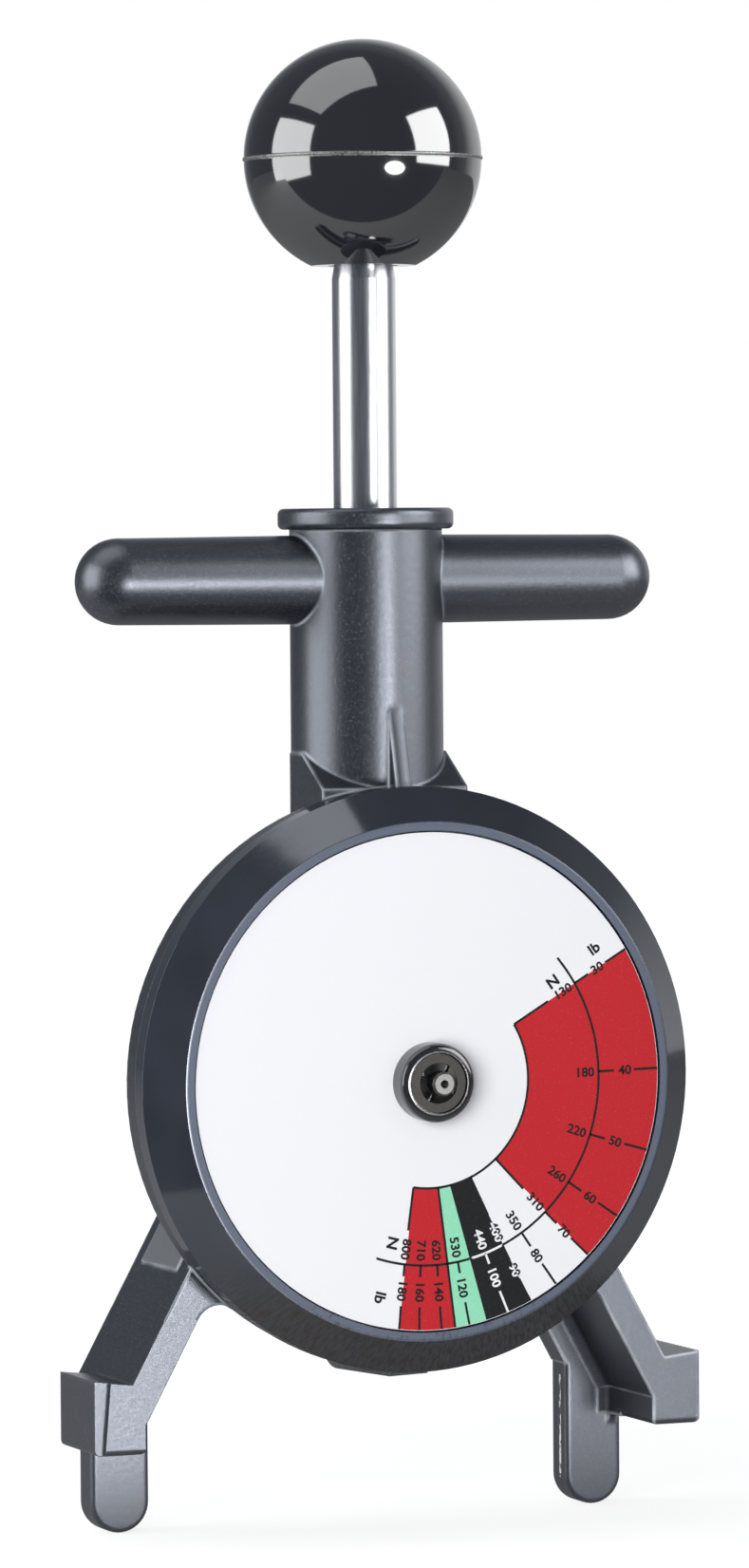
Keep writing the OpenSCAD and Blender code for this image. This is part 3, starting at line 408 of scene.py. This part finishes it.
def dress_nodes():
    """Gives every solid of the frame its finish."""
    # Centreless ground and polished bar: near mirror across, smeared along, with faint draw lines
    ground_bar = metal(
        "steel_ground_polished", "#cfd1d5", "#e4e6e8", 0.36, 0.25, (1, 1, 60), 0.0015, 0.15, 0.75)
    # Turned and cut steel: bright, with short tool marks
    machined = metal("steel_machined", "#8e9297", "#a9adb2", 0.32, 0.3, (6, 6, 1))
    # Turned shaft: greyer, with its facing cut left dull
    turned = metal("steel_turned", "#5d5d5b", "#7a7977", 0.36, 0.3, (1, 3, 1))
    # Stamped spring strip, blackened: nearly black, with glints on its bent tabs
    blackened = metal("spring_steel_blackened", "#2b2a2a", "#363534", 0.34, 1.5, height_mm=0.002)
    # Oil-tempered wire and strip: darker than cut steel, smooth
    tempered = metal("spring_steel_oil_tempered", "#5f6368", "#777b81", 0.3, 0.5, (3, 3, 3))
    # Turned brass and sintered bronze: warm, the bronze open-pored
    brass = metal("brass_turned", "#b08a45", "#c9a45c", 0.25, 0.25, (5, 5, 1))
    bronze = metal("bronze_sintered", "#8a6538", "#a47c48", 0.45, 0.5)
    # Rolled aluminium sheet with its rolling lines
    rolled = metal("aluminium_rolled", "#b9bbbf", "#cfd1d4", 0.35, 0.3, (30, 1, 1))
    # White vinyl sheet of the dial
    vinyl = printed("vinyl_sheet_white", "#f7f7f9", "#fbfbfc", 0.1, 0.55)
    by_finish = {
        moulded_nylon(): ["body_frame", "tube_cap"],
        moulded_abs(): ["bezel"],
        polished_phenolic(): ["ball_knob"],
        moulded_hub_black(): ["dial_hub"],
        black_oxide(): ["hook"],
        moulded_rubber(): ["cap_bumper"],
        ground_bar: ["plunger_rod"],
        turned: ["dial_shaft"],
        blackened: ["push_retainer"],
        machined: ["hook_guide", "guide_screws", "bearing_plate", "plate_screws", "bezel_screws",
                   "spring_seat", "carrier", "hook_screws", "rack", "rack_screws", "knob_insert"],
        tempered: ["load_spring", "retaining_ring", "carrier_pin"],
        brass: ["pinion"],
        bronze: ["guide_bush", "shaft_bush"],
        rolled: ["dial_boss", "dial_plate"],
        vinyl: ["dial_face"]}
    for finish, names in by_finish.items():
        for name in names:
            mesh = BODY_PARTS[name].data
            mesh.materials.clear()
            mesh.materials.append(finish)


def shorten_spring():
    """A copy of the load spring, riding with the housing, shown in place of the part."""
    wire = bpy.data.objects.new("load_spring_wire", BODY_PARTS["load_spring"].data.copy())
    bpy.context.scene.collection.objects.link(wire)
    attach(wire, "housing")
    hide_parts("load_spring")
    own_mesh(wire)


# The dial's print, in millimetres and degrees about the dial's centre, anticlockwise from +X
SECTOR_IN = 21.0
SCALE_R = 36.2
SCALE_START, SCALE_END = -108.7, 40.6
EDGE_R = DIAL_R - 0.1
LINE_W = 0.48
INK_STEP = 0.02
NUMBER_H, UNIT_H = 1.95, 2.3
DIGIT_W = 1.6
# Middle of the pounds, by their number of digits, and end of the short lines inside the scale
POUNDS_R = {2: 41.9, 3: 41.6}
SHORT_R = 29.5
# The units, with their radius, and the angles they stand at
UNITS = (("N", 32.5), ("lb", 43.5))
UNIT_ANGLES = (35.5, -104.5)
# Each mark: pounds, newtons, angle at the dial's edge, lean of its line over the sector
MARKS = [
    (30, 130, 30.6, 0.0), (40, 180, 1.2, 0.0), (50, 220, -18.1, 1.6), (60, 260, -35.1, 0.6),
    (70, 310, -46.6, 1.9), (80, 350, -57.0, 1.4), (90, 400, -64.4, 1.6), (100, 440, -70.5, 1.9),
    (120, 530, -80.5, 1.0), (140, 620, -87.5, 1.0), (160, 710, -93.1, 1.0), (180, 800, -98.1, 1.9)]
# Borders of the colour fields, by pounds: angle at the dial's edge and lean
EDGES = {
    30: (30.6, 0.0), 70: (-46.6, 1.9), 90: (-64.4, 1.6),
    110: (-75.9, 2.1), 130: (-84.1, 1.5), 180: (-98.1, 1.9)}


def at(r, angle):
    """A point of the print, in metres from the dial's centre, as (right, up)."""
    return Vector((r * math.cos(math.radians(angle)), r * math.sin(math.radians(angle)))) * MM


def leaning(edge, r):
    """Angle of a leaning line at radius r."""
    angle, lean = edge
    return angle - lean * (EDGE_R - r) / (EDGE_R - SECTOR_IN)


def strip(ink, near, far):
    """Fills the strip between two rows of points, given anticlockwise."""
    rows = [[ink.verts.new((p.x, 0, p.y)) for p in row] for row in (near, far)]
    for i in range(len(near) - 1):
        ink.faces.new((rows[0][i], rows[1][i], rows[1][i + 1], rows[0][i + 1]))


def sector(ink, start, end, r_in, r_out):
    """Fills a sector from one leaning edge, anticlockwise, to another."""
    steps = max(2, round(abs(end[0] - start[0])))
    rows = []
    for r in (r_in, r_out):
        a, b = leaning(start, r), leaning(end, r)
        rows.append([at(r, a + (b - a) * i / steps) for i in range(steps + 1)])
    strip(ink, rows[0], rows[1])


def straight_line(ink, edge, r_in, r_out):
    """A line along a leaning edge."""
    p, q = at(r_in, leaning(edge, r_in)), at(r_out, leaning(edge, r_out))
    side = (q - p).orthogonal().normalized() * LINE_W / 2 * MM
    strip(ink, [p - side, p + side], [q - side, q + side])


def arc_line(ink, r, start, end):
    """A line round the dial, anticlockwise."""
    sector(ink, (start, 0), (end, 0), r - LINE_W / 2, r + LINE_W / 2)


def figures(ink, words, r, angle, height=NUMBER_H, side="CENTER"):
    """Figures that read outwards along the radius, in upright letters."""
    curve = bpy.data.curves.new("figures", "FONT")
    curve.body, curve.resolution_u, curve.offset = words, 3, 0.03
    text = bpy.data.objects.new("figures", curve)
    bpy.context.scene.collection.objects.link(text)
    bpy.context.view_layer.update()
    mesh = bpy.data.meshes.new_from_object(text.evaluated_get(bpy.context.evaluated_depsgraph_get()))
    xs, ys = [v.co.x for v in mesh.vertices], [v.co.y for v in mesh.vertices]
    size = height * MM / (max(ys) - min(ys))
    anchor = {"CENTER": (min(xs) + max(xs)) / 2, "RIGHT": max(xs)}[side]
    spot = at(r, angle)
    mesh.transform(
        Matrix.Translation((spot.x, 0, spot.y)) @ Matrix.Rotation(-math.radians(angle), 4, "Y")
        @ Matrix.Rotation(math.radians(90), 4, "X") @ Matrix.Diagonal((size * 1.08, size, size, 1))
        @ Matrix.Translation((-anchor, -(min(ys) + max(ys)) / 2, 0)))
    ink.from_mesh(mesh)
    bpy.data.objects.remove(text)
    bpy.data.curves.remove(curve)
    bpy.data.meshes.remove(mesh)


def lay_ink(name, ink, layer, finish):
    """Turns drawn ink into a piece that lies on the dial's face and turns with it."""
    mesh = bpy.data.meshes.new(name)
    ink.to_mesh(mesh)
    ink.free()
    mesh.transform(Matrix.Translation((0, DIAL_FRONT - layer * INK_STEP * MM, DIAL_Z)))
    mesh.materials.append(finish)
    piece = bpy.data.objects.new(name, mesh)
    bpy.context.scene.collection.objects.link(piece)
    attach(piece, "dial")


def keep_side(ink, edge, clockwise):
    """Cuts drawn ink along a leaning edge and keeps one side of it."""
    p, q = at(SECTOR_IN, leaning(edge, SECTOR_IN)), at(EDGE_R, leaning(edge, EDGE_R))
    across = Vector((-(q - p).y, 0, (q - p).x))
    bmesh.ops.bisect_plane(
        ink, geom=ink.verts[:] + ink.edges[:] + ink.faces[:], plane_co=(p.x, 0, p.y), plane_no=across,
        clear_outer=clockwise, clear_inner=not clockwise)


def join(ink, other):
    """Adds one drawing to another."""
    mesh = bpy.data.meshes.new("joined")
    other.to_mesh(mesh)
    other.free()
    ink.from_mesh(mesh)
    bpy.data.meshes.remove(mesh)


def print_dial():
    """Colour fields, scale, ticks and plain numbers. The places of names and words stay bare."""
    red = printed("screen_ink_red", "#c51b24", "#cd3f45", 0.12)
    mint = printed("screen_ink_mint", "#96e4bd", "#b4efd2", 0.12)
    black = printed("screen_ink_black", "#121317", "#4a4c52", 0.06)
    white = printed("screen_ink_white", "#f4f4f6", "#fafafb", 0.1)
    for name, start, end, finish in (
            ("red_field_low", 70, 30, red), ("black_field", 110, 90, black),
            ("mint_field", 130, 110, mint), ("red_field_high", 180, 130, red)):
        ink = bmesh.new()
        sector(ink, EDGES[start], EDGES[end], SECTOR_IN, EDGE_R)
        lay_ink("dial_" + name, ink, 1, finish)

    dark, pale = bmesh.new(), bmesh.new()
    black_start, black_end = leaning(EDGES[110], SCALE_R), leaning(EDGES[90], SCALE_R)
    arc_line(dark, SCALE_R, SCALE_START, black_start)
    arc_line(pale, SCALE_R, black_start, black_end)
    arc_line(dark, SCALE_R, black_end, SCALE_END)
    arc_line(dark, SECTOR_IN, leaning(EDGES[180], SECTOR_IN), leaning(EDGES[30], SECTOR_IN))
    for pounds in (110, 130):
        straight_line(dark, EDGES[pounds], SECTOR_IN, EDGE_R)
    for pounds, newtons, angle, lean in MARKS:
        edge = (angle, lean)
        digits = len(str(pounds))
        middle = POUNDS_R[digits]
        half = DIGIT_W * digits / 2 + 0.4
        runs = [(SCALE_R, middle - half - 0.3), (middle + half, EDGE_R)]
        if pounds in EDGES:
            runs.append((SECTOR_IN, SHORT_R))
        for low, high in runs:
            straight_line(pale if pounds == 100 else dark, edge, low, high)
        # The number on the black field's border is dark on one side of it and pale on the other
        halves = (pale,) if pounds == 100 else (dark,)
        if pounds == 90:
            halves = (dark, pale)
        for side, ink in enumerate(halves):
            drawn = bmesh.new()
            figures(drawn, str(pounds), middle, leaning(edge, middle))
            figures(drawn, str(newtons), SCALE_R - 0.9, leaning(edge, 33.5), side="RIGHT")
            if len(halves) == 2:
                keep_side(drawn, edge, clockwise=bool(side))
            join(ink, drawn)
    for words, r in UNITS:
        for angle in UNIT_ANGLES:
            figures(dark, words, r, angle, UNIT_H)
    lay_ink("dial_black_print", dark, 2, black)
    lay_ink("dial_white_print", pale, 2, white)


def lamp(name, right, up, back, wide, high, radiance, shape="RECTANGLE", matt=True, shine=True):
    """A soft lamp placed from the knob, in the camera's right, up and back, facing the knob.
    It can be kept from matt surfaces, or from the shine of glossy ones."""
    light = bpy.data.lights.new(name, "AREA")
    light.shape, light.size, light.size_y = shape, wide, high
    light.energy = math.pi * wide * high * radiance
    made = bpy.data.objects.new(name, light)
    off = level_right * right + UP * up + level_back * back
    made.location = KNOB_CENTRE + off
    made.rotation_mode = "QUATERNION"
    made.rotation_quaternion = off.to_track_quat("Z", "Y")
    made.visible_camera = False
    made.visible_diffuse = matt
    made.visible_glossy = shine
    bpy.context.scene.collection.objects.link(made)


def set_up_lamps():
    """Three boxes, which the knob mirrors, an umbrella for its glint, and a key for the dial."""
    lamp("left_box", -0.96, 0.11, 0.27, 0.84, 0.84, 2.9)
    lamp("right_box", 0.9, 0.262, 0.28, 0.72, 0.755, 4.6, matt=False)
    lamp("top_box", -0.343, 0.905, 0.1, 0.81, 1.04, 1.1)
    lamp("front_umbrella", 0.8, -0.3, 1.3, 0.5, 0.3, 20, "ELLIPSE", matt=False)
    lamp("front_key", -0.35, -0.05, 1.3, 0.9, 0.9, 7.1, shine=False)


def mirrored(tree):
    """1 where a thing is seen in or through another surface."""
    path = add(tree, "ShaderNodeLightPath").outputs
    return maths(tree, "MAXIMUM", path["Is Glossy Ray"], path["Is Transmission Ray"])


def in_sight(tree):
    """1 where a thing is seen straight from the camera."""
    return add(tree, "ShaderNodeLightPath").outputs["Is Camera Ray"]


def set_up_room():
    """A white backdrop, an even fill, and in reflections a dark room with a bright far side."""
    world = bpy.data.worlds.new("studio")
    bpy.context.scene.world = world
    world.use_nodes = True
    tree = world.node_tree
    tree.nodes.clear()
    far_side = (level_right * 0.36 - level_back).normalized()
    depth = dot(tree, add(tree, "ShaderNodeTexCoord").outputs["Generated"], list(far_side))
    room = ramp(tree, span(tree, depth, -0.2, 0.93, 0, 1), [
        (0, "#585c62"), (0.62, "#63676d"), (0.84, "#868a90"), (1, "#f4f5f7")])
    fill = blend(tree, mirrored(tree), linear("#7d8086"), room)
    seen = blend(tree, in_sight(tree), fill, (1, 1, 1, 1))
    sky = add(tree, "ShaderNodeBackground", {"Color": seen, "Strength": 1.0})
    add(tree, "ShaderNodeOutputWorld", {"Surface": sky.outputs["Background"]})


def set_up_table():
    """Painted board under the tester: white to the camera, and grey only where it is shaded."""
    finish, tree = blank("painted_board_white")
    board = add(tree, "ShaderNodeBsdfDiffuse", {"Color": linear("#9c9c9c")})
    reach = add(tree, "ShaderNodeVectorMath", {0: here(tree)}, operation="LENGTH").outputs["Value"]
    veil = maths(tree, "MULTIPLY", in_sight(tree), span(tree, reach, 0.15, 0.6, 0.82, 1.0))
    dim = maths(tree, "MULTIPLY", mirrored(tree), 0.13)
    glow = add(tree, "ShaderNodeEmission", {
        "Color": (1, 1, 1, 1), "Strength": maths(tree, "MAXIMUM", veil, dim)})
    both = add(tree, "ShaderNodeAddShader", {0: board.outputs["BSDF"], 1: glow.outputs["Emission"]})
    add(tree, "ShaderNodeOutputMaterial", {"Surface": both.outputs["Shader"]})

    level = cad_box[0][2] - 0.2 * MM
    front, rear, half = 0.13, 2.4, 2.2
    places = ((-half, -front), (half, -front), (half, rear), (-half, rear))
    corners = [level_right * x - level_back * y for x, y in places]
    mesh = bpy.data.meshes.new("table")
    mesh.from_pydata([(c.x, c.y, level) for c in corners], [], [(0, 1, 2, 3)])
    mesh.materials.append(finish)
    table = bpy.data.objects.new("table", mesh)
    bpy.context.scene.collection.objects.link(table)


set_up_camera()
dress_nodes()
shorten_spring()
print_dial()
set_up_lamps()
set_up_room()
set_up_table()
bpy.context.scene.view_settings.view_transform = "Standard"
